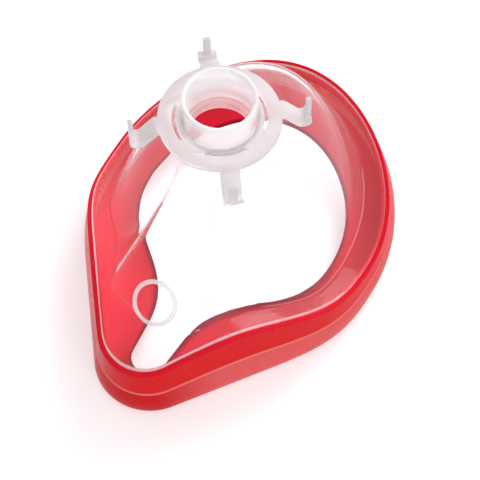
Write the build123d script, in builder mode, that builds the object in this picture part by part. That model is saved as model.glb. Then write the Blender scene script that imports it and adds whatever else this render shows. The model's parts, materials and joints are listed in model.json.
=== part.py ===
from build123d import *
from math import acos, cos, degrees, radians, sin, sqrt
import os

# Anesthesia face mask, lying on its seal with the port up. Millimetres.
# X runs across the face, -Y is the nose end, +Y the chin end, Z = 0 is the surface it lies on.
# The port's axis is X = Y = 0.

# Flange edge, a teardrop: half ellipse round the chin, straight flanks, round nose
RIM_HALF_WIDTH = 52.4
RIM_MIDDLE_Y = 15.7
RIM_CHIN_LENGTH = 51.4
RIM_NOSE_Y = -67.1
RIM_NOSE_RADIUS = 16.2
RIM_FLANK_ANGLE = 36.8
RIM_FLANK_LENGTH = 39.7

# Face opening in the seal, with a narrow notch for the bridge of the nose
LIP_SIDE_WIDTH = 13.8
LIP_CHIN_WIDTH = 11.8
LIP_NOSE_WIDTH = 8.6
OPENING_MIDDLE_Y = 12.9
OPENING_NOSE_RADIUS = 6.4
OPENING_FLANK_ANGLE = 4.4
OPENING_FLANK_LENGTH = 12.4

# Flange: its underside waves through a height at five places from nose to chin
FLANGE_THICKNESS = 1.6
FLANK_Y = -35.0
CHEEK_Y = 0.0
JAW_Y = 35.0
FLANGE_NOSE_HEIGHT = 25.5
FLANGE_FLANK_HEIGHT = 30.3
FLANGE_CHEEK_HEIGHT = 18.6
FLANGE_JAW_HEIGHT = 19.8
FLANGE_CHIN_HEIGHT = 35.3
FLANGE_MARGIN = 8.0

# Dome: its foot stands inside the flange's edge, its top is the collar under the port
DOME_BASE = 22.0
DOME_HEIGHT = 62.0
DOME_WALL = 1.6
FLANGE_NOSE_WIDTH = 5.1
FLANGE_SIDE_WIDTH = 7.9
FLANGE_CHIN_WIDTH = 6.6
FOOT_WIDEST_Y = 8.0
COLLAR_RADIUS = 16.0
NOSE_LEAN = 1.03
NOSE_HOLLOW_POWER = 3.0
SIDE_LEAN = 0.28
SIDE_ROUND_POWER = 2.7
CHIN_LEAN = 0.48
CHIN_ROUND_POWER = 8.0

# The two ridges beside the bridge of the nose, and the finger hollow behind each
RIDGE_FOOT_ALONG = 11.1
RIDGE_FOOT_OUT = 5.6
RIDGE_X_LEAN = 0.33
RIDGE_Y_LEAN = 0.77
RIDGE_ROUND_POWER = 9.0
RIDGE_COLLAR_X = 8.5
RIDGE_FOOT_ANGLE = 26.0
GRIP_ANGLE = 50.0

# The dome's sections crowd towards the collar, where it curves most
SECTION_COUNT = 6
SECTION_CROWDING = 1.5
NOSE_INSET = 1.4
SIDE_INSET = 1.1

# Port: a 22 mm socket with a flared mouth, on a neck that carries the hook ring
NECK_HEIGHT = 8.0
NECK_RADIUS = 14.0
PORT_HEIGHT = 12.0
PORT_OUTER_RADIUS = 12.6
PORT_BORE_RADIUS = 11.0
PORT_FLARE = 0.4
PORT_SOCKET_DEPTH = 15.0
PORT_STOP_WIDTH = 0.5

# Round emblem boss on the bridge of the nose, plain
EMBLEM_HEIGHT = 16.0
EMBLEM_RADIUS = 8.4
EMBLEM_BAND = 1.6
EMBLEM_RELIEF = 0.5

# Hook ring, pushed down over the port onto the neck
RING_RADIUS = 20.5
RING_THICKNESS = 1.6
RING_CLEARANCE = 0.15
RING_TURN = 38.8
SLOT_RADIUS = 15.2
SLOT_WIDTH = 1.3
SLOT_ARC = 50.0
HOOK_COUNT = 4
HOOK_WIDTH = 6.4
HOOK_THICKNESS = 1.6
HOOK_DROP = 6.0
HOOK_REACH = 9.7
HOOK_ROOT = 1.5
HOOK_LEDGE = 0.8
HOOK_FOOT = 3.0
HOOK_BEND = 1.4
HOOK_SHOULDER = 1.4
PRONG_WIDTH = 2.6
PRONG_HEIGHT = 7.5

# Soft seal under the flange: outer wall, a fuller lower part, and a lip turned in to the face
SEAL_WALL = 1.5
SEAL_SHOULDER = 1.7
SEAL_LAND = 4.0
BULGE_OUT = 4.3
BULGE_HEIGHT = 12.0
BULGE_TOP_ROUND = 2.5
BULGE_FOOT_ROUND = 4.0
LIP_THICKNESS = 1.3

# Lower face of the seal: flat from the nose to the cheeks, then rising to the chin
REST_END_Y = -4.0
REST_CHIN_HEIGHT = 18.4
REST_CHIN_ANGLE = 27.0

# Larger than the whole mask, for cutting bodies
BLOCK = 200.0


def teardrop(height, grow, half_width, middle_y, chin, nose_y, nose_radius, angle, flank):
    """Closed teardrop face at a height, grown outwards by a distance."""
    along = Vector(sin(radians(angle)), cos(radians(angle)))
    outward = Vector(cos(radians(angle)), -sin(radians(angle)))
    centre = Vector(0, nose_y + nose_radius)
    low = centre + outward * (nose_radius + grow)
    high = low + along * flank
    side = Vector(half_width + grow, middle_y)
    with BuildSketch(Plane.XY.offset(height)) as face:
        with BuildLine():
            EllipticalCenterArc((0, middle_y), half_width + grow, chin + grow, 0, arc_size=180)
            Spline(side, high, tangents=[(0, -1), -along])
            Line(high, low)
            CenterArc(centre, nose_radius + grow, -angle, 2 * angle - 180)
            Line((-low.X, low.Y), (-high.X, high.Y))
            Spline((-high.X, high.Y), (-side.X, side.Y), tangents=[(-along.X, along.Y), (0, 1)])
        make_face()
    return face.sketch


def rim(height, grow=0.0):
    """Outline of the flange's edge."""
    return teardrop(height, grow, RIM_HALF_WIDTH, RIM_MIDDLE_Y, RIM_CHIN_LENGTH, RIM_NOSE_Y,
                    RIM_NOSE_RADIUS, RIM_FLANK_ANGLE, RIM_FLANK_LENGTH)


def opening(height):
    """Outline of the face opening, inside the lip's width."""
    chin_length = RIM_MIDDLE_Y + RIM_CHIN_LENGTH - LIP_CHIN_WIDTH - OPENING_MIDDLE_Y
    return teardrop(height, 0, RIM_HALF_WIDTH - LIP_SIDE_WIDTH, OPENING_MIDDLE_Y, chin_length,
                    RIM_NOSE_Y + LIP_NOSE_WIDTH, OPENING_NOSE_RADIUS, OPENING_FLANK_ANGLE,
                    OPENING_FLANK_LENGTH)


def leaning(foot, top, share, lean, power):
    """Place of a wall that leans straight from its foot and rounds over to meet the collar."""
    return foot + lean * DOME_HEIGHT * share + (top - foot - lean * DOME_HEIGHT) * share**power


def nose_line(share):
    """Place of the bridge of the nose along Y."""
    foot = RIM_NOSE_Y + FLANGE_NOSE_WIDTH
    return leaning(foot, -COLLAR_RADIUS, share, NOSE_LEAN, NOSE_HOLLOW_POWER)


def ridge_point(share):
    """Place of the ridge beside the bridge of the nose, from its foot to the collar."""
    flank = radians(RIM_FLANK_ANGLE)
    reach = RIM_NOSE_RADIUS + RIDGE_FOOT_OUT
    foot_x = reach * cos(flank) + RIDGE_FOOT_ALONG * sin(flank)
    foot_y = RIM_NOSE_Y + RIM_NOSE_RADIUS - reach * sin(flank) + RIDGE_FOOT_ALONG * cos(flank)
    collar_y = -sqrt(COLLAR_RADIUS**2 - RIDGE_COLLAR_X**2)
    return Vector(leaning(foot_x, RIDGE_COLLAR_X, share, -RIDGE_X_LEAN, RIDGE_ROUND_POWER),
                  leaning(foot_y, collar_y, share, RIDGE_Y_LEAN, RIDGE_ROUND_POWER))


def dome_section(share, inset=0.0):
    """Closed section at a share of the dome's height, with an edge along both nose ridges."""
    foot_side = RIM_HALF_WIDTH - FLANGE_SIDE_WIDTH
    rise = FLANGE_CHIN_HEIGHT + FLANGE_THICKNESS - DOME_BASE
    foot_chin = RIM_MIDDLE_Y + RIM_CHIN_LENGTH - FLANGE_CHIN_WIDTH + CHIN_LEAN * rise
    nose = nose_line(share) + inset * NOSE_INSET
    side = leaning(foot_side, COLLAR_RADIUS, share, -SIDE_LEAN, SIDE_ROUND_POWER) - inset * SIDE_INSET
    chin = leaning(foot_chin, COLLAR_RADIUS, share, -CHIN_LEAN, CHIN_ROUND_POWER) - inset * SIDE_INSET
    widest = FOOT_WIDEST_Y * (1 - share**2)
    ridge = ridge_point(share) + Vector(-inset, inset)
    collar_angle = degrees(acos(RIDGE_COLLAR_X / COLLAR_RADIUS))
    hollow = GRIP_ANGLE * 4 * share * (1 - share)
    grip = radians(RIDGE_FOOT_ANGLE + (collar_angle - RIDGE_FOOT_ANGLE) * share - hollow)
    with BuildSketch(Plane.XY.offset(DOME_BASE + share * (DOME_HEIGHT - inset))) as face:
        with BuildLine():
            EllipticalCenterArc((0, widest), side, chin - widest, 0, arc_size=180)
            Spline((side, widest), ridge, tangents=[(0, -1), (-sin(grip), -cos(grip))])
            ThreePointArc(ridge, (0, nose), (-ridge.X, ridge.Y))
            Spline((-ridge.X, ridge.Y), (-side, widest), tangents=[(-sin(grip), cos(grip)), (0, 1)])
        make_face()
    return face.sketch


def dome_body(inset=0.0):
    """The dome as a solid body, drawn in by an inset."""
    with BuildPart() as body:
        for step in range(SECTION_COUNT + 1):
            add(dome_section(1 - (1 - step / SECTION_COUNT) ** SECTION_CROWDING, inset))
        loft()
    return body.part


def above_flange(lift=0.0):
    """Everything above the wave that the flange's underside follows, lifted by a distance."""
    nose = Vector(RIM_NOSE_Y, FLANGE_NOSE_HEIGHT + lift)
    flank = Vector(FLANK_Y, FLANGE_FLANK_HEIGHT + lift)
    cheek = Vector(CHEEK_Y, FLANGE_CHEEK_HEIGHT + lift)
    jaw = Vector(JAW_Y, FLANGE_JAW_HEIGHT + lift)
    chin = Vector(RIM_MIDDLE_Y + RIM_CHIN_LENGTH, FLANGE_CHIN_HEIGHT + lift)
    with BuildPart() as body:
        with BuildSketch(Plane.YZ):
            with BuildLine():
                wave = Spline(nose, flank, cheek, jaw, chin)
                nose_end = nose - (wave % 0) * FLANGE_MARGIN
                chin_end = chin + (wave % 1) * FLANGE_MARGIN
                Polyline(nose, nose_end, (nose_end.X, BLOCK), (chin_end.X, BLOCK), chin_end, chin)
            make_face()
        extrude(amount=BLOCK, both=True)
    return body.part


def above_rest(lift=0.0):
    """Everything above the seal's lower face, lifted by a distance."""
    start = Vector(REST_END_Y, lift)
    chin = Vector(RIM_MIDDLE_Y + RIM_CHIN_LENGTH, REST_CHIN_HEIGHT + lift)
    slope = Vector(cos(radians(REST_CHIN_ANGLE)), sin(radians(REST_CHIN_ANGLE)))
    chin_end = chin + slope * FLANGE_MARGIN
    with BuildPart() as body:
        with BuildSketch(Plane.YZ):
            with BuildLine():
                Spline(start, chin, tangents=[(1, 0), slope])
                Polyline(chin, chin_end, (chin_end.X, BLOCK), (-BLOCK, BLOCK), (-BLOCK, lift), start)
            make_face()
        extrude(amount=BLOCK, both=True)
    return body.part


def seal_wall(inset=0.0):
    """Upper wall of the soft seal as a body under the flange, drawn in by an inset."""
    with BuildPart() as body:
        add(rim(0, SEAL_SHOULDER - inset))
        extrude(amount=BLOCK / 2)
        add(above_flange(-inset), mode=Mode.SUBTRACT)
        add(above_rest(BULGE_HEIGHT / 2), mode=Mode.INTERSECT)
    return body.part


def seal_bulge(inset=0.0):
    """Fuller lower part of the soft seal as a rounded body, drawn in by an inset."""
    with BuildPart() as body:
        add(rim(-BLOCK / 4, BULGE_OUT - inset))
        extrude(amount=BLOCK / 2)
        add(above_rest(BULGE_HEIGHT - inset), mode=Mode.SUBTRACT)
        add(above_rest(inset), mode=Mode.INTERSECT)
        foot = body.faces().filter_by(lambda face: face.normal_at().Z < -0.8)
        fillet(foot.edges().filter_by(Axis.X, reverse=True), radius=BULGE_FOOT_ROUND - inset)
        top = body.faces().filter_by(lambda face: face.normal_at().Z > 0.8)
        fillet(top.edges().filter_by(Axis.X, reverse=True), radius=BULGE_TOP_ROUND)
    return body.part


def emblem_boss():
    """Plain raised ring on the bridge of the nose, square to its slope."""
    share = EMBLEM_HEIGHT / DOME_HEIGHT
    rise = EMBLEM_RADIUS / DOME_HEIGHT
    spot = Vector(0, nose_line(share), DOME_BASE + EMBLEM_HEIGHT)
    slope = (nose_line(share + rise) - nose_line(share - rise)) / (2 * EMBLEM_RADIUS)
    raised = dome_body(-EMBLEM_RELIEF)
    with BuildPart() as boss:
        with BuildSketch(Plane(origin=spot, x_dir=(1, 0, 0), z_dir=(0, -1, slope))):
            Circle(EMBLEM_RADIUS)
            Circle(EMBLEM_RADIUS - EMBLEM_BAND, mode=Mode.SUBTRACT)
        extrude(amount=EMBLEM_RADIUS / 2, both=True)
        add(raised, mode=Mode.INTERSECT)
    return boss.part


collar_top = DOME_BASE + DOME_HEIGHT
ring_seat = collar_top + NECK_HEIGHT
port_top = ring_seat + PORT_HEIGHT
socket_stop = port_top - PORT_SOCKET_DEPTH
stop_radius = PORT_BORE_RADIUS - PORT_STOP_WIDTH
flange_room = above_flange()

# Clear moulding: flange, dome and port
emblem = emblem_boss()
with BuildPart() as shell:
    add(rim(0))
    extrude(amount=DOME_BASE + DOME_HEIGHT)
    add(above_flange(FLANGE_THICKNESS), mode=Mode.SUBTRACT)
    add(dome_section(0))
    extrude(amount=-DOME_BASE)
    add(dome_body())
    add(flange_room, mode=Mode.INTERSECT)
    add(emblem)
    with BuildSketch(Plane.XY.offset(collar_top - DOME_WALL)):
        Circle(NECK_RADIUS)
    extrude(amount=NECK_HEIGHT + DOME_WALL)
    with BuildSketch(Plane.XY.offset(ring_seat)):
        Circle(PORT_OUTER_RADIUS)
    extrude(amount=PORT_HEIGHT)
    add(dome_section(0, DOME_WALL))
    extrude(amount=-DOME_BASE, mode=Mode.SUBTRACT)
    add(dome_body(DOME_WALL), mode=Mode.SUBTRACT)
    with BuildSketch(Plane.XZ):
        with BuildLine():
            Polyline((0, DOME_BASE), (0, port_top), (PORT_BORE_RADIUS + PORT_FLARE, port_top),
                     (PORT_BORE_RADIUS, port_top - PORT_FLARE), (PORT_BORE_RADIUS, socket_stop),
                     (stop_radius, socket_stop), (stop_radius, DOME_BASE), close=True)
        make_face()
    revolve(axis=Axis.Z, mode=Mode.SUBTRACT)

# One strap hook, pointing along +X from the port's axis
level = ring_seat + RING_THICKNESS / 2
low = level - HOOK_DROP
end = RING_RADIUS + HOOK_REACH - HOOK_THICKNESS / 2
shoulder = low + HOOK_THICKNESS / 2 + HOOK_SHOULDER
with BuildPart() as hook:
    with BuildSketch(Plane.XZ):
        with BuildLine():
            FilletPolyline((RING_RADIUS - HOOK_ROOT, level), (RING_RADIUS + HOOK_LEDGE, level),
                           (end - HOOK_FOOT, low), (end, low), (end, shoulder), radius=HOOK_BEND)
        trace(line_width=HOOK_THICKNESS)
    extrude(amount=HOOK_WIDTH / 2, both=True)
    with BuildSketch(Plane.XY.offset(low)):
        with Locations((end, 0)):
            Rectangle(HOOK_THICKNESS, PRONG_WIDTH)
    extrude(amount=shoulder - low + PRONG_HEIGHT)

# Flat ring on the neck, with an arc slot and a hook in each quarter
with BuildPart() as hook_ring:
    with BuildSketch(Plane.XY.offset(ring_seat)):
        Circle(RING_RADIUS)
        Circle(PORT_OUTER_RADIUS + RING_CLEARANCE, mode=Mode.SUBTRACT)
        with PolarLocations(0, HOOK_COUNT, start_angle=RING_TURN):
            SlotArc(CenterArc((0, 0), SLOT_RADIUS, -SLOT_ARC / 2, SLOT_ARC, mode=Mode.PRIVATE),
                    SLOT_WIDTH, mode=Mode.SUBTRACT)
    extrude(amount=RING_THICKNESS)
    with PolarLocations(0, HOOK_COUNT, start_angle=RING_TURN):
        add(hook.part)

# Room inside the soft seal, open to the face between the flange and the lip
with BuildPart() as core:
    add(rim(0, -SEAL_LAND))
    extrude(amount=BLOCK / 2)
    add(above_rest(LIP_THICKNESS), mode=Mode.INTERSECT)

# Soft seal: outer wall, fuller lower part, and the lip turned in to the face opening
with BuildPart() as cushion_seal:
    add(seal_wall())
    add(seal_bulge())
    add(seal_wall(SEAL_WALL), mode=Mode.SUBTRACT)
    add(seal_bulge(SEAL_WALL), mode=Mode.SUBTRACT)
    add(core.part, mode=Mode.SUBTRACT)
    add(opening(0))
    extrude(amount=BLOCK / 2, mode=Mode.SUBTRACT)

shell.part.label = "shell"
hook_ring.part.label = "hook_ring"
cushion_seal.part.label = "cushion_seal"

os.makedirs("parts", exist_ok=True)
export_step(shell.part, "parts/shell.step")
export_step(hook_ring.part, "parts/hook_ring.step")
export_step(cushion_seal.part, "parts/cushion_seal.step")
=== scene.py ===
# %% [markdown]
# # A clear anesthesia face mask
# The mask lies on its soft red seal with the port up. Three pieces make it: a clear moulded
# shell with a dome, a flange and a round port, a frosted ring with four strap hooks, and a
# hollow red seal. This notebook dresses the imported CAD model, so it starts by loading that
# model as a fixed frame.

# %% Load the frame
import bpy
import json
from math import acos, atan2, cos, hypot, pi, radians, sin, sqrt
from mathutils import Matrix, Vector
from mathutils.bvhtree import BVHTree
from mathutils.kdtree import KDTree

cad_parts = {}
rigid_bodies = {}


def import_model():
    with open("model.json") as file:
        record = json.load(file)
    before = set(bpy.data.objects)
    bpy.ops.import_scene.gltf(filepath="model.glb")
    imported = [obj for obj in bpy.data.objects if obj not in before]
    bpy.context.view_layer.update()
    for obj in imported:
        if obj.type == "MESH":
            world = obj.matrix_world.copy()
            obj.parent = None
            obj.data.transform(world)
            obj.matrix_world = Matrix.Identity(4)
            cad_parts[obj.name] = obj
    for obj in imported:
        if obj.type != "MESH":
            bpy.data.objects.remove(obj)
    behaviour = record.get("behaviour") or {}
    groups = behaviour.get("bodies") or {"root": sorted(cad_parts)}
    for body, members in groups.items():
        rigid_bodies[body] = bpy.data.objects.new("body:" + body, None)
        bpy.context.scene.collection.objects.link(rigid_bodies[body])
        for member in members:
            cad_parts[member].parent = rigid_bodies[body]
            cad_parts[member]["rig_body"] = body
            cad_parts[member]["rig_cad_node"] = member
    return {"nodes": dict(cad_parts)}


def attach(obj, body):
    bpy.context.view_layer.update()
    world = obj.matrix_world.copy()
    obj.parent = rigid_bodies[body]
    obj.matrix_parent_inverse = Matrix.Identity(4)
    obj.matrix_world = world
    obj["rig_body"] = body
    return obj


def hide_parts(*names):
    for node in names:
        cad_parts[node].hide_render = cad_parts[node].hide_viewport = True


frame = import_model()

scene = bpy.context.scene
nodes = frame["nodes"]
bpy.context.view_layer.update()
print("nodes", sorted(nodes))

# %% [markdown]
# ## Colours and nodes
# Colours are written as the hex values that a picture editor shows. A shader wants linear
# light, so one function turns the one into the other. A second small function adds a node to
# a material with its settings and its links, and every material below is built with it. A
# last one gives the mask's see-through plastics a light shadow in their own tint.

# %% Colour and node helpers
def linear(code, alpha=1.0):
    """sRGB hex code as linear light."""
    values = [int(code[place:place + 2], 16) / 255 for place in (1, 3, 5)]
    light = [v / 12.92 if v <= 0.04045 else ((v + 0.055) / 1.055) ** 2.4 for v in values]
    return (*light, alpha)


def add_node(tree, kind, settings=None, sockets=None, links=None):
    """Adds a node, sets its properties and sockets, and links other nodes' outputs to it."""
    node = tree.nodes.new(kind)
    for name, value in (settings or {}).items():
        setattr(node, name, value)
    for name, value in (sockets or {}).items():
        node.inputs[name].default_value = value
    for name, output in (links or {}).items():
        tree.links.new(output, node.inputs[name])
    return node


def new_material(name):
    """An empty node material with its output node."""
    material = bpy.data.materials.new(name)
    material.use_nodes = True
    tree = material.node_tree
    tree.nodes.clear()
    return material, tree, add_node(tree, "ShaderNodeOutputMaterial")


def cast_shadow(tree, output, surface, colour, share):
    """Puts a surface on the output, and lets part of the light that casts shadows through."""
    rays = add_node(tree, "ShaderNodeLightPath")
    part = add_node(tree, "ShaderNodeMath", {"operation": "MULTIPLY"}, {1: share},
                    {0: rays.outputs["Is Shadow Ray"]})
    through = add_node(tree, "ShaderNodeBsdfTransparent", None, {"Color": linear(colour)})
    final = add_node(tree, "ShaderNodeMixShader", None, None,
                     {0: part.outputs[0], 1: surface.outputs[0], 2: through.outputs[0]})
    tree.links.new(final.outputs[0], output.inputs["Surface"])


print("linear light of #808080:", [round(v, 3) for v in linear("#808080")])

# %% [markdown]
# ## The camera
# The photograph was taken from above the nose end with a long lens. The mask's symmetry and
# the round port give the angle, the distance and the lens, and those numbers stand here.

# %% Camera
CAMERA_TURN = 29.9
CAMERA_ABOVE = 60.35
CAMERA_DISTANCE = 0.60387
CAMERA_TARGET = Vector((0.00851, -0.00162, 0.022))
CAMERA_LENS = 125.1

turn, above = radians(CAMERA_TURN), radians(CAMERA_ABOVE)
toward = Vector((sin(turn) * cos(above), -cos(turn) * cos(above), sin(above)))
bpy.ops.object.select_all(action="DESELECT")
bpy.ops.object.camera_add(location=CAMERA_TARGET + toward * CAMERA_DISTANCE)
camera = bpy.context.object
camera.name = "camera"
camera.rotation_euler = (-toward).to_track_quat("-Z", "Y").to_euler()
camera.data.lens = CAMERA_LENS
camera.data.clip_start = 0.01
scene.camera = camera
scene.view_settings.view_transform = "Standard"
print("camera at", [round(v, 3) for v in camera.location])

# %% [markdown]
# ## The floor
# The mask lies on a white sweep. Its white is a plain white floor that also glows for the
# camera and for what the plastic mirrors or lets through, so no extra light falls on the
# mask and the floor keeps the mask's soft shadow.

# %% Floor
FLOOR_SIZE = 6.0
FLOOR_WHITE = "#e6e6e8"
FLOOR_LIFT = 0.38
WHITE = (1.0, 1.0, 1.0, 1.0)

bpy.ops.object.select_all(action="DESELECT")
bpy.ops.mesh.primitive_plane_add(size=FLOOR_SIZE)
floor = bpy.context.object
floor.name = "floor"
studio_paper, tree, output = new_material("studio_paper")
rays = add_node(tree, "ShaderNodeLightPath")
camera_or_gloss = add_node(tree, "ShaderNodeMath", {"operation": "MAXIMUM"}, None,
                           {0: rays.outputs["Is Camera Ray"], 1: rays.outputs["Is Glossy Ray"]})
seen = add_node(tree, "ShaderNodeMath", {"operation": "MAXIMUM"}, None,
                {0: camera_or_gloss.outputs[0], 1: rays.outputs["Is Transmission Ray"]})
lift = add_node(tree, "ShaderNodeMath", {"operation": "MULTIPLY"}, {1: FLOOR_LIFT},
                {0: seen.outputs[0]})
paper = add_node(tree, "ShaderNodeBsdfDiffuse", None, {"Color": linear(FLOOR_WHITE)})
glow = add_node(tree, "ShaderNodeEmission", None, {"Color": WHITE}, {"Strength": lift.outputs[0]})
both = add_node(tree, "ShaderNodeAddShader", None, None, {0: paper.outputs[0], 1: glow.outputs[0]})
tree.links.new(both.outputs[0], output.inputs["Surface"])
floor.data.materials.append(studio_paper)
print("floor", [round(v, 2) for v in floor.dimensions])

# %% [markdown]
# ## The sky and the lamps
# The studio is a plain white sky, full at the horizon and dimmer overhead, so that level
# faces aren't washed out. Two large soft lamps stand behind the mask and at its right. Gloss
# doesn't mirror them, so they leave no bright squares on the plastic.

# %% World and lamps
HORIZON, OVERHEAD = 1.0, 0.46
LAMP_SIZE = 0.6

world = bpy.data.worlds.new("studio")
scene.world = world
world.use_nodes = True
tree = world.node_tree
tree.nodes.clear()
directions = add_node(tree, "ShaderNodeTexCoord")
upward = add_node(tree, "ShaderNodeSeparateXYZ", None, None,
                  {"Vector": directions.outputs["Generated"]})
strength = add_node(tree, "ShaderNodeMapRange", None, {"To Min": HORIZON, "To Max": OVERHEAD},
                    {"Value": upward.outputs["Z"]})
sky = add_node(tree, "ShaderNodeBackground", None, {"Color": WHITE},
               {"Strength": strength.outputs[0]})
add_node(tree, "ShaderNodeOutputWorld", None, None, {"Surface": sky.outputs[0]})


def add_lamp(name, place, power):
    """A square soft lamp that points at the mask and isn't mirrored."""
    bpy.ops.object.select_all(action="DESELECT")
    bpy.ops.object.light_add(type="AREA", location=place)
    lamp = bpy.context.object
    lamp.name = name
    lamp.data.shape = "SQUARE"
    lamp.data.size = LAMP_SIZE
    lamp.data.energy = power
    lamp.rotation_euler = (CAMERA_TARGET - Vector(place)).to_track_quat("-Z", "Y").to_euler()
    lamp.visible_glossy = False
    print(name, "at", place)


add_lamp("key_lamp", (0.0, 0.85, 0.75), 7.0)
add_lamp("fill_lamp", (0.7, -0.5, 0.6), 2.3)

# %% [markdown]
# ## The mask's own sizes
# Shell and seal follow the same outline, a teardrop with a half ellipse round the chin,
# straight flanks and a round nose. Millimetres are easier to read than metres, so all of the
# mask's sizes are in millimetres here, and a mesh is scaled as its points are written. Two
# curves from nose to chin give the heights: one for the flange's underside, which waves, and
# one for the underside of the seal, which lies on the table and rises towards the chin.

# %% Sizes shared by shell and seal
RIM = {"half_width": 52.4, "middle_y": 15.7, "chin": 51.4, "nose_y": -67.1,
       "nose_radius": 16.2, "angle": 36.8, "flank": 39.7, "split": 11.1}
OPENING = {"half_width": 38.6, "middle_y": 12.9, "chin": 42.4, "nose_y": -58.5,
           "nose_radius": 6.4, "angle": 4.4, "flank": 12.4, "split": 4.0}
# Each station is a place from nose to chin, the height there and the slope
WAVE = ((-67.1, 25.5, 0.28), (-35.0, 30.3, -0.229), (0.0, 18.6, -0.217),
        (35.0, 19.8, 0.246), (67.1, 35.3, 0.818))
REST = ((-4.0, 0.0, 0.0), (67.1, 18.4, 0.51))
CHIN_COLUMNS, FLANK_COLUMNS, BRIDGE_COLUMNS = 48, 30, 26
FLANK_STEPS, NOSE_STEPS = 60, 40
CURVE_REACH = 1.3


def curve_height(stations, y):
    """Height of a curve through stations of place, height and slope."""
    if y <= stations[0][0]:
        return stations[0][1] + stations[0][2] * (y - stations[0][0])
    if y >= stations[-1][0]:
        return stations[-1][1] + stations[-1][2] * (y - stations[-1][0])
    for (y0, z0, m0), (y1, z1, m1) in zip(stations, stations[1:]):
        if y <= y1:
            run = y1 - y0
            t = (y - y0) / run
            return (z0 * (2 * t**3 - 3 * t**2 + 1) + m0 * run * (t**3 - 2 * t**2 + t)
                    + z1 * (3 * t**2 - 2 * t**3) + m1 * run * (t**3 - t**2))


def blend_curve(start, start_way, end, end_way, t):
    """Smooth curve between two places that leaves and arrives in given directions."""
    reach = CURVE_REACH * hypot(end[0] - start[0], end[1] - start[1])
    a, b = 2 * t**3 - 3 * t**2 + 1, t**3 - 2 * t**2 + t
    c, d = 3 * t**2 - 2 * t**3, t**3 - t**2
    return tuple(a * start[k] + b * reach * start_way[k] + c * end[k] + d * reach * end_way[k]
                 for k in (0, 1))


print("flange underside at nose, cheek, chin:",
      [round(curve_height(WAVE, y), 1) for y in (-67.1, 0, 67.1)])

# %% [markdown]
# ## Columns round the mask
# Every ring of the mesh has its points in the same columns, so that a grid can be wrapped
# round the mask. Half a ring runs from the chin over the cheek and the flank to the bridge
# of the nose, and the other half is its mirror image.

# %% Half outlines in columns
def spread(line, places):
    """Points at given shares of the length of a line."""
    lengths = [0.0]
    for a, b in zip(line, line[1:]):
        lengths.append(lengths[-1] + hypot(b[0] - a[0], b[1] - a[1]))
    out, step = [], 0
    for place in places:
        goal = place * lengths[-1]
        while step < len(line) - 2 and lengths[step + 1] < goal:
            step += 1
        t = (goal - lengths[step]) / max(lengths[step + 1] - lengths[step], 1e-9)
        a, b = line[step], line[step + 1]
        out.append((a[0] + (b[0] - a[0]) * t, a[1] + (b[1] - a[1]) * t))
    return out


def half_outline(size, grow=0.0):
    """Half a teardrop from chin to nose, in columns. The bridge's columns start at its split."""
    angle = radians(size["angle"])
    along, outward = (sin(angle), cos(angle)), (cos(angle), -sin(angle))
    centre = (0.0, size["nose_y"] + size["nose_radius"])
    radius = size["nose_radius"] + grow
    low = (centre[0] + outward[0] * radius, centre[1] + outward[1] * radius)
    high = (low[0] + along[0] * size["flank"], low[1] + along[1] * size["flank"])
    mark = (low[0] + along[0] * size["split"], low[1] + along[1] * size["split"])
    side = (size["half_width"] + grow, size["middle_y"])
    chin = [(side[0] * sin(pi / 2 * k / CHIN_COLUMNS),
             size["middle_y"] + (size["chin"] + grow) * cos(pi / 2 * k / CHIN_COLUMNS))
            for k in range(CHIN_COLUMNS)]
    flank = [blend_curve(side, (0, -1), high, (-along[0], -along[1]), k / FLANK_STEPS)
             for k in range(FLANK_STEPS + 1)]
    angles = [angle + (pi / 2 - angle) * k / NOSE_STEPS for k in range(NOSE_STEPS + 1)]
    bridge = [(radius * cos(a), centre[1] - radius * sin(a)) for a in angles]
    return (chin + spread(flank + [mark], [k / FLANK_COLUMNS for k in range(FLANK_COLUMNS)])
            + spread([mark] + bridge, [k / BRIDGE_COLUMNS for k in range(BRIDGE_COLUMNS + 1)]))


def whole_ring(half):
    """A closed ring of points from half a ring, without its last point repeated."""
    return half + [(-p[0], *p[1:]) for p in half[-2:0:-1]]


def points(halves):
    """The points of some half rings and of their mirror images."""
    return [place for half in halves for place in whole_ring(half)]


print("columns round the mask:", len(whole_ring(half_outline(RIM))))

# %% [markdown]
# ## Wrapping a grid
# A plain grid from Blender's own primitives becomes a skin once its points are moved onto
# the rings. The last row and column lie on the first ones, so merging by distance closes the
# skin, and its normals are then made to point outwards.

# %% Skin from rings
MM = 0.001
# In metres, as Blender's own operators take it
SAME_PLACE = 0.000001
SMOOTH_ANGLE = radians(42)


def skin(name, rings):
    """Wraps a grid round closed rings of points, where the last ring is next to the first."""
    columns, rows = len(rings[0]), len(rings)
    bpy.ops.object.select_all(action="DESELECT")
    bpy.ops.mesh.primitive_grid_add(x_subdivisions=columns, y_subdivisions=rows, size=1.0)
    piece = bpy.context.object
    piece.name = name
    piece.data.name = name
    places = []
    for row in range(rows + 1):
        ring = rings[row % rows]
        for column in range(columns + 1):
            places.extend(v * MM for v in ring[column % columns])
    piece.data.vertices.foreach_set("co", places)
    piece.data.update()
    bpy.ops.object.mode_set(mode="EDIT")
    bpy.ops.mesh.select_all(action="SELECT")
    bpy.ops.mesh.remove_doubles(threshold=SAME_PLACE)
    bpy.ops.mesh.normals_make_consistent(inside=False)
    bpy.ops.mesh.select_all(action="DESELECT")
    bpy.ops.object.mode_set(mode="OBJECT")
    bpy.ops.object.shade_smooth_by_angle(angle=SMOOTH_ANGLE)
    print(name, len(piece.data.vertices), "points", len(piece.data.polygons), "faces")
    return piece


# %% [markdown]
# ## The clear shell
# The real shell is one injection moulding in clear plastic, about 1.6 mm thick all over. Its
# dome leans straight up from the flange and rounds over to a collar. Two ridges run beside
# the bridge of the nose, with a hollow for the fingers behind each. The shape is known in
# level sections, so the skin is laid on them instead of being pulled out of a primitive.

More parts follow.
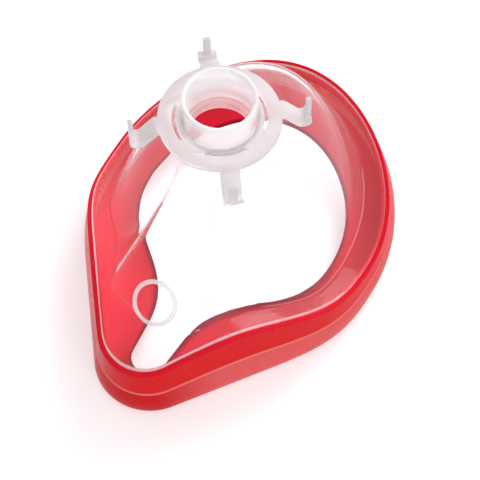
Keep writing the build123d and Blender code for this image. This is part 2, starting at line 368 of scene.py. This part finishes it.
# %% Dome sections
BASE, HEIGHT, WALL = 22.0, 62.0, 1.6
COLLAR = 16.0
RIDGE_AT_COLLAR = 8.5
WIDEST_Y = 8.0
# Each wall is its place at the foot, its lean there and how late it rounds over to the collar
CHEEK_WALL = (44.5, -0.28, 2.7)
CHIN_WALL = (67.65, -0.48, 8.0)
BRIDGE_WALL = (-62.0, 1.03, 3.0)
RIDGE_WALL_X = (24.10, -0.33, 9.0)
RIDGE_WALL_Y = (-55.07, 0.77, 9.0)
# Direction in which the finger hollow runs into the ridge, and how far it turns half way up
HOLLOW_ANGLE, HOLLOW_TURN = radians(26.0), radians(50.0)


def lean_in(wall, top, share):
    """Place of a wall that leans straight from its foot and rounds over to the collar."""
    foot, lean, power = wall
    return foot + lean * HEIGHT * share + (top - foot - lean * HEIGHT) * share**power


def bridge_y(share):
    """Place of the bridge of the nose."""
    return lean_in(BRIDGE_WALL, -COLLAR, share)


def dome_half(column, share):
    """Place of a column on the dome's outside at a share of its height."""
    up = max(share, 0.0)
    side = (lean_in(CHEEK_WALL, COLLAR, up), WIDEST_Y * (1 - up**2))
    if column < CHIN_COLUMNS:
        chin = lean_in(CHIN_WALL, COLLAR, up)
        angle = pi / 2 * column / CHIN_COLUMNS
        return side[0] * sin(angle), side[1] + (chin - side[1]) * cos(angle)
    ridge = (lean_in(RIDGE_WALL_X, RIDGE_AT_COLLAR, up),
             lean_in(RIDGE_WALL_Y, -sqrt(COLLAR**2 - RIDGE_AT_COLLAR**2), up))
    if column < CHIN_COLUMNS + FLANK_COLUMNS:
        at_collar = acos(RIDGE_AT_COLLAR / COLLAR)
        angle = (HOLLOW_ANGLE + (at_collar - HOLLOW_ANGLE) * up
                 - HOLLOW_TURN * 4 * up * (1 - up))
        t = (column - CHIN_COLUMNS) / FLANK_COLUMNS
        return blend_curve(side, (0, -1), ridge, (-sin(angle), -cos(angle)), t)
    t = (column - CHIN_COLUMNS - FLANK_COLUMNS) / BRIDGE_COLUMNS
    nose = bridge_y(up)
    drop = ridge[1] - nose
    radius = (ridge[0] ** 2 + drop**2) / (2 * drop)
    reach = atan2(ridge[0], radius - drop) if abs(drop) > 1e-6 else 0.0
    angle = reach * (1 - t)
    return radius * sin(angle), nose + radius * (1 - cos(angle))


print("the dome's foot at chin and cheek:",
      [round(v, 1) for v in (dome_half(0, 0)[1], dome_half(CHIN_COLUMNS, 0)[0])])

# %% [markdown]
# The dome's sections meet the wavy flange in a small fillet. Going up from there, over the
# rim of the port, down its bore and back along the inside of the dome, the rows come round
# to the flange's underside, so one skin makes the whole moulding with its true thickness.

# %% Surface of the dome with its ridges rounded over
HALF_COLUMNS = CHIN_COLUMNS + FLANK_COLUMNS + BRIDGE_COLUMNS + 1
RIDGE_COLUMN = CHIN_COLUMNS + FLANK_COLUMNS
# Columns on each side of a ridge that are rounded, how often, and how much more at its foot
RIDGE_REACH, RIDGE_ROUNDS = 9, 13
FOOT_ROUNDS, FOOT_END = 24, 0.35
# The height at which the dome meets the flange is found in rounds from a first share
SEARCH_START, SEARCH_ROUNDS = 0.1, 12
# A wall's outward side faces away from the mask's middle and up
MIDDLE_Y, UPWARD = 5.0, 20.0


def dome_ring(shares):
    """Half a ring on the dome, at a share for each column, with the ridge rounded over."""
    flat = [dome_half(column, shares[column]) for column in range(HALF_COLUMNS)]
    more = FOOT_ROUNDS * max(0.0, 1 - max(shares[RIDGE_COLUMN], 0.0) / FOOT_END)
    for _ in range(RIDGE_ROUNDS + round(more)):
        old = list(flat)
        for column in range(RIDGE_COLUMN - RIDGE_REACH, RIDGE_COLUMN + RIDGE_REACH + 1):
            flat[column] = tuple((old[column - 1][k] + 2 * old[column][k] + old[column + 1][k]) / 4
                                 for k in (0, 1))
    return [(x, y, BASE + HEIGHT * share) for (x, y), share in zip(flat, shares)]


def shares_at_foot(lift):
    """Share of the dome's height at which each column stands a distance over the flange."""
    shares = []
    for column in range(HALF_COLUMNS):
        share = SEARCH_START
        for _ in range(SEARCH_ROUNDS):
            y = dome_half(column, share)[1]
            share = (curve_height(WAVE, y) + WALL + lift - BASE) / HEIGHT
        shares.append(share)
    return shares


def mirrored(place):
    """The place across the mask's middle plane."""
    return Vector((-place[0], *place[1:]))


def drawn_in(ring_low, ring, ring_high, distance):
    """Half a ring moved in square to the surface, from its neighbours below and above."""
    out = []
    last = len(ring) - 1
    for column, place in enumerate(ring):
        before = Vector(ring[column - 1]) if column else mirrored(ring[1])
        after = Vector(ring[column + 1]) if column < last else mirrored(ring[-2])
        normal = (after - before).cross(Vector(ring_high[column]) - Vector(ring_low[column]))
        normal.normalize()
        if normal.dot(Vector((place[0], place[1] - MIDDLE_Y, UPWARD))) < 0:
            normal.negate()
        moved = Vector(place) - normal * distance
        out.append((max(moved.x, 0.0) if 0 < column < last else 0.0, moved.y, moved.z))
    return out


met = shares_at_foot(0)
print("the dome meets the flange at shares", round(min(met), 3), "to", round(max(met), 3))

# %% Rows of the shell
FILLET, FILLET_STEPS = 1.6, 5
DOME_ROWS = 84

rim_half = half_outline(RIM)
foot = shares_at_foot(FILLET)


def between(low, part, top=1.0):
    """Shares part of the way from low ones to the collar, or to a lower top."""
    return [share + (top - share) * part for share in low]


outer = [dome_ring(between(foot, row / DOME_ROWS)) for row in range(DOME_ROWS + 1)]
turns = [atan2(place[1], place[0]) for place in outer[-1]]


def level_ring(radius, height):
    """Half a ring round the port."""
    return [(radius * cos(a) if 0 < k < HALF_COLUMNS - 1 else 0.0, radius * sin(a), height)
            for k, a in enumerate(turns)]


def flange_row(out, share, lift):
    """Half a ring over the flange's underside, away from the dome's foot by a distance out
    and by a share of the flange's width."""
    ring = []
    for (fx, fy, _), (rx, ry) in zip(outer[0], rim_half):
        part = out / hypot(rx - fx, ry - fy) + share
        x, y = fx + (rx - fx) * part, fy + (ry - fy) * part
        ring.append((x, y, curve_height(WAVE, y) + lift))
    return ring


def flange_ring(share, lift):
    """Half a ring part of the way from the fillet to the flange's edge."""
    return flange_row(FILLET * (1 - share), share, lift)


corner = [pi / 2 * step / FILLET_STEPS for step in range(FILLET_STEPS + 1)]
fillet = [flange_row(FILLET * (1 - sin(a)), 0.0, WALL + FILLET * (1 - cos(a)))
          for a in corner[:-1]]
inner_corner = [flange_row(FILLET - (FILLET + WALL) * cos(a), 0.0,
                           (FILLET + WALL) * (1 - sin(a))) for a in corner[1:]]
print("rows of the dome", len(outer), "of the fillet", len(fillet))

# %% The shell's skin
INNER_ROWS, INNER_TOP = 42, 0.985
# Inset from the flange's edge and height over its underside
EDGE_ROWS = ((0.3, 0.0), (0.0, 0.35), (0.0, WALL - 0.5), (0.12, WALL - 0.15), (0.45, WALL),
             (0.8, WALL))
TOP_STEPS, UNDER_STEPS = 5, 4
# More than the neck's radius and the collar's height
NECK_RADIUS, COLLAR_TOP = 14.0, 84.0
NECK_ROWS = ((1.2, 0.08), (0.6, 0.25), (0.2, 0.6), (0.0, 1.2), (0.0, 4.5), (0.0, 7.6))
# Radius and height from the ring's seat up the port, over its rim and down the bore
PORT_ROWS = ((13.85, 91.9), (13.6, 92.0), (12.75, 92.0), (12.6, 92.15), (12.6, 95.0),
             (12.6, 99.0), (12.6, 103.5), (12.52, 103.83), (12.3, 104.0), (11.8, 104.0),
             (11.5, 103.92), (11.15, 103.6), (11.0, 103.2), (11.0, 98.0), (11.0, 93.0),
             (11.0, 89.2), (10.9, 89.0), (10.6, 89.0), (10.5, 88.85), (10.5, 86.0),
             (10.5, 83.2), (10.8, 82.6), (11.8, 82.35))
PORT_RIM_FROM = 103.4

source = [dome_ring(between(foot, row / INNER_ROWS, INNER_TOP)) for row in range(INNER_ROWS + 1)]
inner = [drawn_in(source[max(row - 1, 0)], ring, source[min(row + 1, INNER_ROWS)], WALL)
         for row, ring in enumerate(source)]
edge = [flange_row(-inset, 1.0, lift) for inset, lift in EDGE_ROWS]
top = [flange_ring(1 - k / TOP_STEPS, WALL) for k in range(1, TOP_STEPS)]
underside = [flange_ring(k / UNDER_STEPS, 0.0) for k in range(1, UNDER_STEPS)]
neck = [level_ring(NECK_RADIUS + more, COLLAR_TOP + up) for more, up in NECK_ROWS]
port = [level_ring(radius, height) for radius, height in PORT_ROWS]
shell = skin("clear_shell", [whole_ring(half) for half in edge + top + fillet + outer + neck
                             + port + inner[::-1] + inner_corner + underside])
port_rim = points(half for half in port if half[0][2] > PORT_RIM_FROM)
print("shell box in mm", [round(v * 1000, 1) for v in shell.dimensions])

# %% [markdown]
# ## The plain raised ring on the bridge of the nose
# A narrow round ring stands half a millimetre proud of the bridge, round a plain field. A
# torus is flattened onto the bridge: each of its points is dropped on the shell along the
# ring's axis and keeps part of its height there. The ring is then joined to the shell,
# because both are one moulding.

# %% Raised ring
BOSS_LIFT, BOSS_RADIUS, BOSS_BAND, BOSS_RELIEF = 16.0, 8.4, 1.6, 0.5
CAST_FROM = 10.0

share, step = BOSS_LIFT / HEIGHT, BOSS_RADIUS / HEIGHT
slope = (bridge_y(share + step) - bridge_y(share - step)) / (2 * BOSS_RADIUS)
boss = Vector((0.0, bridge_y(share), BASE + BOSS_LIFT)) * MM
boss_way = Vector((0.0, -1.0, slope)).normalized()
surface = BVHTree.FromObject(shell, bpy.context.evaluated_depsgraph_get())

bpy.ops.object.select_all(action="DESELECT")
bpy.ops.mesh.primitive_torus_add(major_segments=120, minor_segments=20,
                                 major_radius=(BOSS_RADIUS - BOSS_BAND / 2) * MM,
                                 minor_radius=BOSS_BAND / 2 * MM, location=boss,
                                 rotation=boss_way.to_track_quat("Z", "Y").to_euler())
band = bpy.context.object
bpy.ops.object.transform_apply(location=True, rotation=True, scale=True)
for point in band.data.vertices:
    rise = (point.co - boss).dot(boss_way)
    hit = surface.ray_cast(point.co + boss_way * CAST_FROM * MM, -boss_way)[0]
    point.co = hit + boss_way * rise * BOSS_RELIEF / (BOSS_BAND / 2)
bpy.ops.object.shade_smooth()
boss_places = [tuple(point.co / MM) for point in band.data.vertices]
shell.select_set(True)
bpy.context.view_layer.objects.active = shell
bpy.ops.object.join()
print("shell now has", len(shell.data.polygons), "faces")

# %% [markdown]
# ## The soft red seal
# The real seal is a hollow skirt of soft translucent plastic, moulded round the flange. Its
# wall goes straight down to a seam, swells to a rounded bulge that lies on the table, and
# turns in to a thin lip round the face opening. The lip curls up towards the opening, except
# at the chin. The rows run from the land under the flange down the outside, round the lip's
# edge and back up the inside.

# %% Rows of the seal
SEAL_WALL, LIP_WALL = 1.5, 1.3
WALL_DROP, FOOT_RADIUS, FOOT_OUT = 0.8, 4.0, 0.3
# Shares of the wall's height at which the seam lies and the bulge starts
SEAM_SHARE = 0.56
BULGE_FROM = SEAM_SHARE * 1.1
# Distances outside the flange's edge at the top, and how much more they are at the bottom
WALL_OUT, WALL_SWELL, BULGE_OUT, BULGE_SWELL = 1.7, 0.9, 2.95, 1.35
# The lip's curl, the share of its width at which it starts, and where it fades at the chin
LIP_RISE, RISE_FROM = 6.0, 0.3
RISE_ENDS, RISE_LEFT = (16.0, 48.0), 0.1
# Distance outside the flange's edge and height over its underside
LAND_ROWS = ((-1.2, -0.05), (-0.6, -0.05), (0.0, -0.05), (0.9, -0.06), (1.35, -0.15),
             (1.62, -0.42))
INNER_LAND_ROWS = ((-0.3, -1.2), (-0.8, -1.2), (-1.2, -1.1))


def wall_ends(y):
    """Heights of the wall's two ends, under the flange and over the rounded foot."""
    return curve_height(WAVE, y) - WALL_DROP, curve_height(REST, y) + FOOT_RADIUS


def seal_ring(out, lift, curve=WAVE):
    """Half a ring of the seal, a distance outside the flange's edge, over a curve."""
    return [(x, y, curve_height(curve, y) + lift) for x, y in half_outline(RIM, out)]


def wall_ring(out, share):
    """Half a ring on the wall, at a share of the way down it."""
    ring = []
    for x, y in half_outline(RIM, out):
        high, low = wall_ends(y)
        ring.append((x, y, high + (low - high) * share))
    return ring


def bulge_ring(out, share):
    """Half a ring on the bulge, between the seam and the rounded foot."""
    return wall_ring(out + BULGE_SWELL * sin(pi / 2 * share), BULGE_FROM + (1 - BULGE_FROM) * share)


def foot_ring(radius, angle):
    """Half a ring on the rounded foot, at an angle down from level."""
    return seal_ring(FOOT_OUT + radius * cos(angle), FOOT_RADIUS - radius * sin(angle), REST)


def lip_ring(share, lift=0.0):
    """Half a ring on the lip, part of the way from the foot to the face opening."""
    ring = []
    curl = LIP_RISE * max(0.0, (share - RISE_FROM) / (1 - RISE_FROM)) ** 2
    for (ax, ay), (bx, by) in zip(half_outline(RIM, FOOT_OUT), half_outline(OPENING)):
        x, y = ax + (bx - ax) * share, ay + (by - ay) * share
        fade = (RISE_ENDS[1] - y) / (RISE_ENDS[1] - RISE_ENDS[0])
        ring.append((x, y, curve_height(REST, y) + lift + curl * min(max(fade, RISE_LEFT), 1.0)))
    return ring


land = [seal_ring(out, lift) for out, lift in LAND_ROWS]
wall = [wall_ring(WALL_OUT + WALL_SWELL * s, s * SEAM_SHARE)
        for s in (0.0, 0.12, 0.26, 0.4, 0.54, 0.68, 0.82, 0.94)]
seam_rows = [wall_ring(out, s * SEAM_SHARE) for out, s in ((2.62, 1.0), (2.72, 1.04), (2.95, 1.1))]
bulge = [bulge_ring(BULGE_OUT, s) for s in (0.2, 0.4, 0.6, 0.8, 1.0)]
under = [foot_ring(FOOT_RADIUS, a) for a in (0.0, 0.2, 0.4, 0.6, 0.8, 1.0, 1.2, 1.4)]
lip_under = [lip_ring(s) for s in (0.0, 0.15, 0.3, 0.45, 0.6, 0.75, 0.88)]
lip_edge = [lip_ring(s, z) for s, z in ((0.97, 0.1), (1.0, 0.4), (1.0, 0.9), (0.97, 1.2))]
lip_top = [lip_ring(s, LIP_WALL) for s in (0.88, 0.75, 0.6, 0.45, 0.3, 0.15)]
inner_foot = [foot_ring(FOOT_RADIUS - SEAL_WALL, a) for a in (1.4, 1.1, 0.8, 0.5, 0.2)]
inner_bulge = [bulge_ring(BULGE_OUT - SEAL_WALL, s) for s in (1.0, 0.7, 0.4, 0.15)]
inner_wall = [wall_ring(WALL_OUT - SEAL_WALL + WALL_SWELL * s, s * SEAM_SHARE)
              for s in (1.0, 0.8, 0.6, 0.4, 0.2, 0.1)]
inner_land = [seal_ring(out, lift) for out, lift in INNER_LAND_ROWS]
seal = skin("red_seal", [whole_ring(half) for half in land + wall + seam_rows + bulge + under
                         + lip_under + lip_edge + lip_top + inner_foot + inner_bulge
                         + inner_wall + inner_land])
print("seal box in mm", [round(v * 1000, 1) for v in seal.dimensions])

# %% [markdown]
# ## The hook ring
# The ring is its CAD solid with softened edges. The CAD node's own mesh is loose triangles
# and is never changed, so a copy of it is merged, its flat faces are joined again, and a
# small bevel breaks the edges as the mould does.

# %% Ring with softened edges
# Lengths in metres
MERGE_DISTANCE, FLAT_ANGLE = 0.000005, radians(2)
BEVEL_WIDTH, BEVEL_FROM = 0.0003, radians(40)

bpy.ops.object.select_all(action="DESELECT")
strap_ring = nodes["hook_ring"].copy()
strap_ring.data = nodes["hook_ring"].data.copy()
strap_ring.name = "strap_ring"
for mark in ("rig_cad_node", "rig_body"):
    if mark in strap_ring:
        del strap_ring[mark]
strap_ring.parent = None
scene.collection.objects.link(strap_ring)
bpy.context.view_layer.objects.active = strap_ring
strap_ring.select_set(True)
bpy.ops.object.mode_set(mode="EDIT")
bpy.ops.mesh.select_all(action="SELECT")
bpy.ops.mesh.remove_doubles(threshold=MERGE_DISTANCE)
bpy.ops.mesh.dissolve_limited(angle_limit=FLAT_ANGLE)
bpy.ops.object.mode_set(mode="OBJECT")
bevel = strap_ring.modifiers.new("softened_edges", "BEVEL")
bevel.width = BEVEL_WIDTH
bevel.segments = 2
bevel.limit_method = "ANGLE"
bevel.angle_limit = BEVEL_FROM
bpy.ops.object.modifier_apply(modifier=bevel.name)
bpy.ops.object.shade_smooth_by_angle(angle=radians(30))
print("ring faces", len(strap_ring.data.polygons))

# %% [markdown]
# ## Values for the materials
# The materials follow the shape through values kept on the meshes' points. The shell's points
# say where a painted highlight goes, white scatter that stands in for the light an edge or a
# crease catches: at the flange's edge, the port's rim, the raised ring, the two ridges and the
# dome's foot. The seal's points say where its lip is, whose cooler red is painted shade, how far
# down the wall they lie, and where painted shade darkens the edge of its opening and the
# shoulder under the flange.

# %% Values on the points
# In metres
CLOSE = 0.00002
# The dome's rows on which the ridges get a painted highlight, and the span of its foot that gets
# one
RIDGE_ROWS = slice(6, 72)
FOOT_SPAN = (-25.0, 45.0)


def marked(piece, name, groups):
    """Gives a piece's points a value where they lie on given places, and none elsewhere."""
    places = [place for group, value in groups for place in group]
    values = [value for group, value in groups for place in group]
    tree = KDTree(len(places))
    for number, place in enumerate(places):
        tree.insert(Vector(place) * MM, number)
    tree.balance()
    marks = []
    for point in piece.data.vertices:
        _, number, away = tree.find(point.co)
        marks.append(values[number] if away < CLOSE else 0.0)
    attribute = piece.data.attributes.new(name, "FLOAT", "POINT")
    attribute.data.foreach_set("value", marks)
    print(name, "on", sum(mark > 0 for mark in marks), "points of", piece.name)


def on_ridges(columns):
    """Places of some columns on the ridges' rows, on both sides of the mask."""
    return [(side * half[column][0], *half[column][1:])
            for half in outer[RIDGE_ROWS] for column in columns for side in (-1, 1)]


def down_the_wall(place):
    """0 at the flange, 0.5 at the seam, 1 at the rounded foot and on the lip."""
    _, y, z = (v / MM for v in place)
    high, low = wall_ends(y)
    share = (high - z) / (high - low)
    if share < SEAM_SHARE:
        return max(0.5 * share / SEAM_SHARE, 0.0)
    return min(0.5 + 0.5 * (share - SEAM_SHARE) / (1 - SEAM_SHARE), 1.0)


near_nose = [place for place in points(edge[3:5]) if place[1] < 0.0]
dome_foot = [place for place in points(fillet[3:4]) if FOOT_SPAN[0] < place[1] < FOOT_SPAN[1]]
# Painted highlight: white scatter on the flange's edge, the port's rim, the raised ring, the ridges
# and the dome's foot stands in for the light they catch
marked(shell, "painted_highlight",
       [(points(edge[1:3]), 0.6), (near_nose, 0.7), (port_rim, 0.6), (boss_places, 0.7),
        (on_ridges((RIDGE_COLUMN,)), 1.0), (on_ridges((RIDGE_COLUMN - 1, RIDGE_COLUMN + 1)), 0.35),
        (dome_foot, 0.4)])

depths = seal.data.attributes.new("down_the_wall", "FLOAT", "POINT")
depths.data.foreach_set("value", [down_the_wall(point.co) for point in seal.data.vertices])
shoulder = points(land + wall[:1])
lip_places = points(lip_under[1:] + lip_edge + lip_top + inner_foot[:1])
# The lip mark gives the lip a cooler red that is painted shade of the flange over it, and puts half
# of it on the shoulder as painted shade
marked(seal, "lip", [(lip_places, 1.0), (shoulder, 0.5)])
# Painted shade: darker red at the edge of the opening and, faintly, on the shoulder under the
# flange
marked(seal, "edge_and_shoulder_shade", [(points(lip_edge), 1.0), (shoulder, 0.12)])

# %% [markdown]
# ## Clear plastic
# The shell is clear injection-moulded plastic. The eye reads it by its bright edges and by a
# faint milky veil, which grows where the wall is seen edge on and up the port, where walls
# stand behind walls. The veil is a little white scatter mixed over the glass, and the bright
# edges are painted highlights of the same white scatter. Such plastic has an index near 1.49.
# It is matched down to 1.03 here, because the photograph shows the seal almost unbent through
# the wall, and a thin clear coat gives the gloss back. Slow flow lines from the mould ripple the
# surface. Light that casts shadows passes nearly straight through, as it does through a thin
# clear wall.

# %% Material: clear moulded plastic
# The veil's white also paints the highlights on the marked edges, and PAINTED_HIGHLIGHT_SHARE is
# how much of it they get
CLEAR_TINT, CLEAR_HAZE_AND_HIGHLIGHT, CLEAR_SHADOW = "#fbfafb", "#f6f4f5", "#fbf9f9"
CLEAR_IOR = 1.03
VEIL_SHARE, PAINTED_HIGHLIGHT_SHARE, PORT_VEIL = 0.03, 0.7, 0.36
# Heights in metres between which the port's veil sets in
PORT_FROM, PORT_FULL = 0.078, 0.090
CLEAR_SHADOW_SHARE = 0.96
FLOW_LENGTH_MM = 9.0

clear, tree, output = new_material("clear_moulded_plastic")
place = add_node(tree, "ShaderNodeTexCoord")
flow = add_node(tree, "ShaderNodeTexNoise", None,
                {"Scale": 1000 / FLOW_LENGTH_MM, "Detail": 2.0, "Roughness": 0.4},
                {"Vector": place.outputs["Object"]})
ripple = add_node(tree, "ShaderNodeBump", None, {"Strength": 0.12, "Distance": 0.0004},
                  {"Height": flow.outputs[0]})
polish = add_node(tree, "ShaderNodeMapRange", None, {"To Min": 0.01, "To Max": 0.05},
                  {"Value": flow.outputs[0]})
glass = add_node(tree, "ShaderNodeBsdfPrincipled", None,
                 {"Base Color": linear(CLEAR_TINT), "IOR": CLEAR_IOR, "Transmission Weight": 1.0,
                  "Coat Weight": 0.28, "Coat Roughness": 0.03},
                 {"Roughness": polish.outputs[0], "Normal": ripple.outputs[0]})
haze_and_highlight_scatter = add_node(tree, "ShaderNodeBsdfPrincipled", None,
                {"Base Color": linear(CLEAR_HAZE_AND_HIGHLIGHT), "Roughness": 0.35},
                {"Normal": ripple.outputs[0]})
facing = add_node(tree, "ShaderNodeLayerWeight", None, {"Blend": 0.35})
haze = add_node(tree, "ShaderNodeMapRange", None,
                {"To Min": VEIL_SHARE * 0.5, "To Max": VEIL_SHARE * 2.0},
                {"Value": facing.outputs["Facing"]})
height = add_node(tree, "ShaderNodeSeparateXYZ", None, None, {"Vector": place.outputs["Object"]})
tube = add_node(tree, "ShaderNodeMapRange", None,
                {"From Min": PORT_FROM, "From Max": PORT_FULL, "To Min": 0.0, "To Max": PORT_VEIL},
                {"Value": height.outputs["Z"]})
haze_and_tube = add_node(tree, "ShaderNodeMath", {"operation": "ADD"}, None,
                         {0: haze.outputs[0], 1: tube.outputs[0]})
# Painted highlight: the marked edges, ridges, rim and foot get more of the white scatter
painted_highlight = add_node(tree, "ShaderNodeAttribute", {"attribute_name": "painted_highlight"})
haze_and_painted_highlight = add_node(tree, "ShaderNodeMath", {"operation": "MULTIPLY_ADD", "use_clamp": True},
                     {1: PAINTED_HIGHLIGHT_SHARE}, {0: painted_highlight.outputs["Fac"], 2: haze_and_tube.outputs[0]})
glass_with_haze_and_highlight = add_node(tree, "ShaderNodeMixShader", None, None,
                 {0: haze_and_painted_highlight.outputs[0], 1: glass.outputs[0], 2: haze_and_highlight_scatter.outputs[0]})
cast_shadow(tree, output, glass_with_haze_and_highlight, CLEAR_SHADOW, CLEAR_SHADOW_SHARE)
print("clear plastic nodes", len(tree.nodes))

# %% [markdown]
# ## Soft red seal
# The seal is soft PVC, coloured through with a clear red and moulded with a satin skin. Its
# upper wall is thick and deep red. Below the seam the bulge is thinner, so it is paler and
# lets some light through, but not round the nose. A pale painted highlight runs along the seam.
# The lip's cooler red is painted shade of the flange over it. Painted shade darkens the edge
# of the opening, where the eye looks along the wall, and faintly the shoulder under the flange.

# %% Material: translucent red soft PVC
# RED_LIP_SHADE is painted shade under the flange, RED_SEAM_HIGHLIGHT a painted highlight along the
# seam, RED_EDGE_SHADE painted shade at the opening's edge
RED_DEEP, RED_PALE, RED_LIP_SHADE = "#dc0510", "#f06264", "#e4293e"
RED_SEAM_HIGHLIGHT, RED_EDGE_SHADE, RED_SHADOW = "#f8a9a2", "#84062a", "#cfc4c4"
# Values of down_the_wall at the seam and beside it, the strength of the painted seam highlight,
# and where the wall gets paler
SEAM_AT, SEAM_SOFT, SEAM_HIGHLIGHT_STRENGTH = 0.5, (0.01, 0.035), 0.55
PALE_FROM, PALE_FULL = 0.48, 0.56
# Places in metres between which the nose's deep red turns paler
NOSE_END, NOSE_START = -0.066, -0.048
# How strong the painted edge shade is, and how much light that casts shadows the seal lets through
EDGE_SHADE_STRENGTH, RED_SHADOW_SHARE = 0.9, 0.6
SKIN_GRAIN_MM, CLOUD_MM = 0.8, 14.0

soft, tree, output = new_material("translucent_red_soft_pvc")
place = add_node(tree, "ShaderNodeTexCoord")
depth = add_node(tree, "ShaderNodeAttribute", {"attribute_name": "down_the_wall"})
lip = add_node(tree, "ShaderNodeAttribute", {"attribute_name": "lip"})
edge_and_shoulder_shade = add_node(tree, "ShaderNodeAttribute", {"attribute_name": "edge_and_shoulder_shade"})
grain = add_node(tree, "ShaderNodeTexNoise", None, {"Scale": 1000 / SKIN_GRAIN_MM, "Detail": 3.0},
                 {"Vector": place.outputs["Object"]})
cloud = add_node(tree, "ShaderNodeTexNoise", None, {"Scale": 1000 / CLOUD_MM, "Detail": 2.0},
                 {"Vector": place.outputs["Object"]})
skin_bump = add_node(tree, "ShaderNodeBump", None, {"Strength": 0.15, "Distance": 0.00008},
                     {"Height": grain.outputs[0]})
below_seam = add_node(tree, "ShaderNodeMapRange", None,
                      {"From Min": PALE_FROM, "From Max": PALE_FULL},
                      {"Value": depth.outputs["Fac"]})
thin_wall = add_node(tree, "ShaderNodeMath", {"operation": "SUBTRACT", "use_clamp": True}, None,
                     {0: below_seam.outputs[0], 1: lip.outputs["Fac"]})
axes = add_node(tree, "ShaderNodeSeparateXYZ", None, None, {"Vector": place.outputs["Object"]})
past_nose = add_node(tree, "ShaderNodeMapRange", None,
                     {"From Min": NOSE_END, "From Max": NOSE_START}, {"Value": axes.outputs["Y"]})
pale_part = add_node(tree, "ShaderNodeMath", {"operation": "MULTIPLY"}, None,
                     {0: thin_wall.outputs[0], 1: past_nose.outputs[0]})
uneven = add_node(tree, "ShaderNodeMapRange", None, {"To Min": -0.05, "To Max": 0.05},
                  {"Value": cloud.outputs[0]})
paleness = add_node(tree, "ShaderNodeMath", {"operation": "ADD", "use_clamp": True}, None,
                    {0: pale_part.outputs[0], 1: uneven.outputs[0]})
from_seam = add_node(tree, "ShaderNodeMath", {"operation": "SUBTRACT"}, {1: SEAM_AT},
                     {0: depth.outputs["Fac"]})
off_seam = add_node(tree, "ShaderNodeMath", {"operation": "ABSOLUTE"}, None,
                    {0: from_seam.outputs[0]})
# Painted highlight: a pale line along the seam
painted_seam_highlight = add_node(tree, "ShaderNodeMapRange", None,
                {"From Min": SEAM_SOFT[0], "From Max": SEAM_SOFT[1], "To Min": SEAM_HIGHLIGHT_STRENGTH,
                 "To Max": 0.0}, {"Value": off_seam.outputs[0]})
# Painted shade at the opening's edge and on the shoulder
painted_edge_shade = add_node(tree, "ShaderNodeMath", {"operation": "MULTIPLY"}, {1: EDGE_SHADE_STRENGTH},
                     {0: edge_and_shoulder_shade.outputs["Fac"]})
tone = add_node(tree, "ShaderNodeMix", {"data_type": "RGBA"}, None, {0: paleness.outputs[0]})
tone.inputs[6].default_value = linear(RED_DEEP)
tone.inputs[7].default_value = linear(RED_PALE)
# The lip's cooler red is painted shade, the seam's pale line a painted highlight, the edge's dark
# red painted shade
for factor, colour in ((lip.outputs["Fac"], RED_LIP_SHADE), (painted_seam_highlight.outputs[0], RED_SEAM_HIGHLIGHT),
                       (painted_edge_shade.outputs[0], RED_EDGE_SHADE)):
    tone = add_node(tree, "ShaderNodeMix", {"data_type": "RGBA"}, None,
                    {0: factor, 6: tone.outputs[2]})
    tone.inputs[7].default_value = linear(colour)
satin = add_node(tree, "ShaderNodeMapRange", None, {"To Min": 0.2, "To Max": 0.34},
                 {"Value": cloud.outputs[0]})
clearness = add_node(tree, "ShaderNodeMapRange", None, {"To Min": 0.0, "To Max": 0.26},
                     {"Value": thin_wall.outputs[0]})
gel = add_node(tree, "ShaderNodeBsdfPrincipled", None,
               {"IOR": 1.45, "Specular IOR Level": 0.07},
               {"Base Color": tone.outputs[2], "Roughness": satin.outputs[0],
                "Transmission Weight": clearness.outputs[0], "Normal": skin_bump.outputs[0]})
cast_shadow(tree, output, gel, RED_SHADOW, RED_SHADOW_SHARE)
print("seal nodes", len(tree.nodes))

# %% [markdown]
# ## Frosted plastic
# The hook ring is natural polypropylene, which is milky rather than clear, with a fine matt
# grain from the mould. Light goes into it and comes out softened.

# %% Material: natural polypropylene
FROST_TINT, FROST_SHADOW = "#efebec", "#e8e8ea"
FROST_GRAIN_MM, FROST_CLOUD_MM = 0.35, 6.0
FROST_SHADOW_SHARE = 0.6

frosted, tree, output = new_material("natural_polypropylene")
place = add_node(tree, "ShaderNodeTexCoord")
grain = add_node(tree, "ShaderNodeTexNoise", None, {"Scale": 1000 / FROST_GRAIN_MM, "Detail": 2.0},
                 {"Vector": place.outputs["Object"]})
cloud = add_node(tree, "ShaderNodeTexNoise", None, {"Scale": 1000 / FROST_CLOUD_MM, "Detail": 2.0},
                 {"Vector": place.outputs["Object"]})
frost_bump = add_node(tree, "ShaderNodeBump", None, {"Strength": 0.2, "Distance": 0.00005},
                      {"Height": grain.outputs[0]})
matt = add_node(tree, "ShaderNodeMapRange", None, {"To Min": 0.28, "To Max": 0.42},
                {"Value": cloud.outputs[0]})
milk = add_node(tree, "ShaderNodeBsdfPrincipled", None,
                {"Base Color": linear(FROST_TINT), "IOR": 1.49, "Transmission Weight": 0.6},
                {"Roughness": matt.outputs[0], "Normal": frost_bump.outputs[0]})
cast_shadow(tree, output, milk, FROST_SHADOW, FROST_SHADOW_SHARE)
print("frosted nodes", len(tree.nodes))

# %% [markdown]
# ## Fitting the pieces to the frame
# Each piece gets its one material, stands for its CAD node and rides on the mask's one body.

# %% Materials and places
for piece, node_name, slot_name, finish in ((shell, "shell", "clear_plastic", clear),
                                            (strap_ring, "hook_ring", "frosted_plastic", frosted),
                                            (seal, "cushion_seal", "soft_seal", soft)):
    piece.data.materials.clear()
    piece.data.materials.append(finish)
    for face in piece.data.polygons:
        face.material_index = 0
    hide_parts(node_name)
    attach(piece, "root")
    print(piece.name, "stands for", node_name)
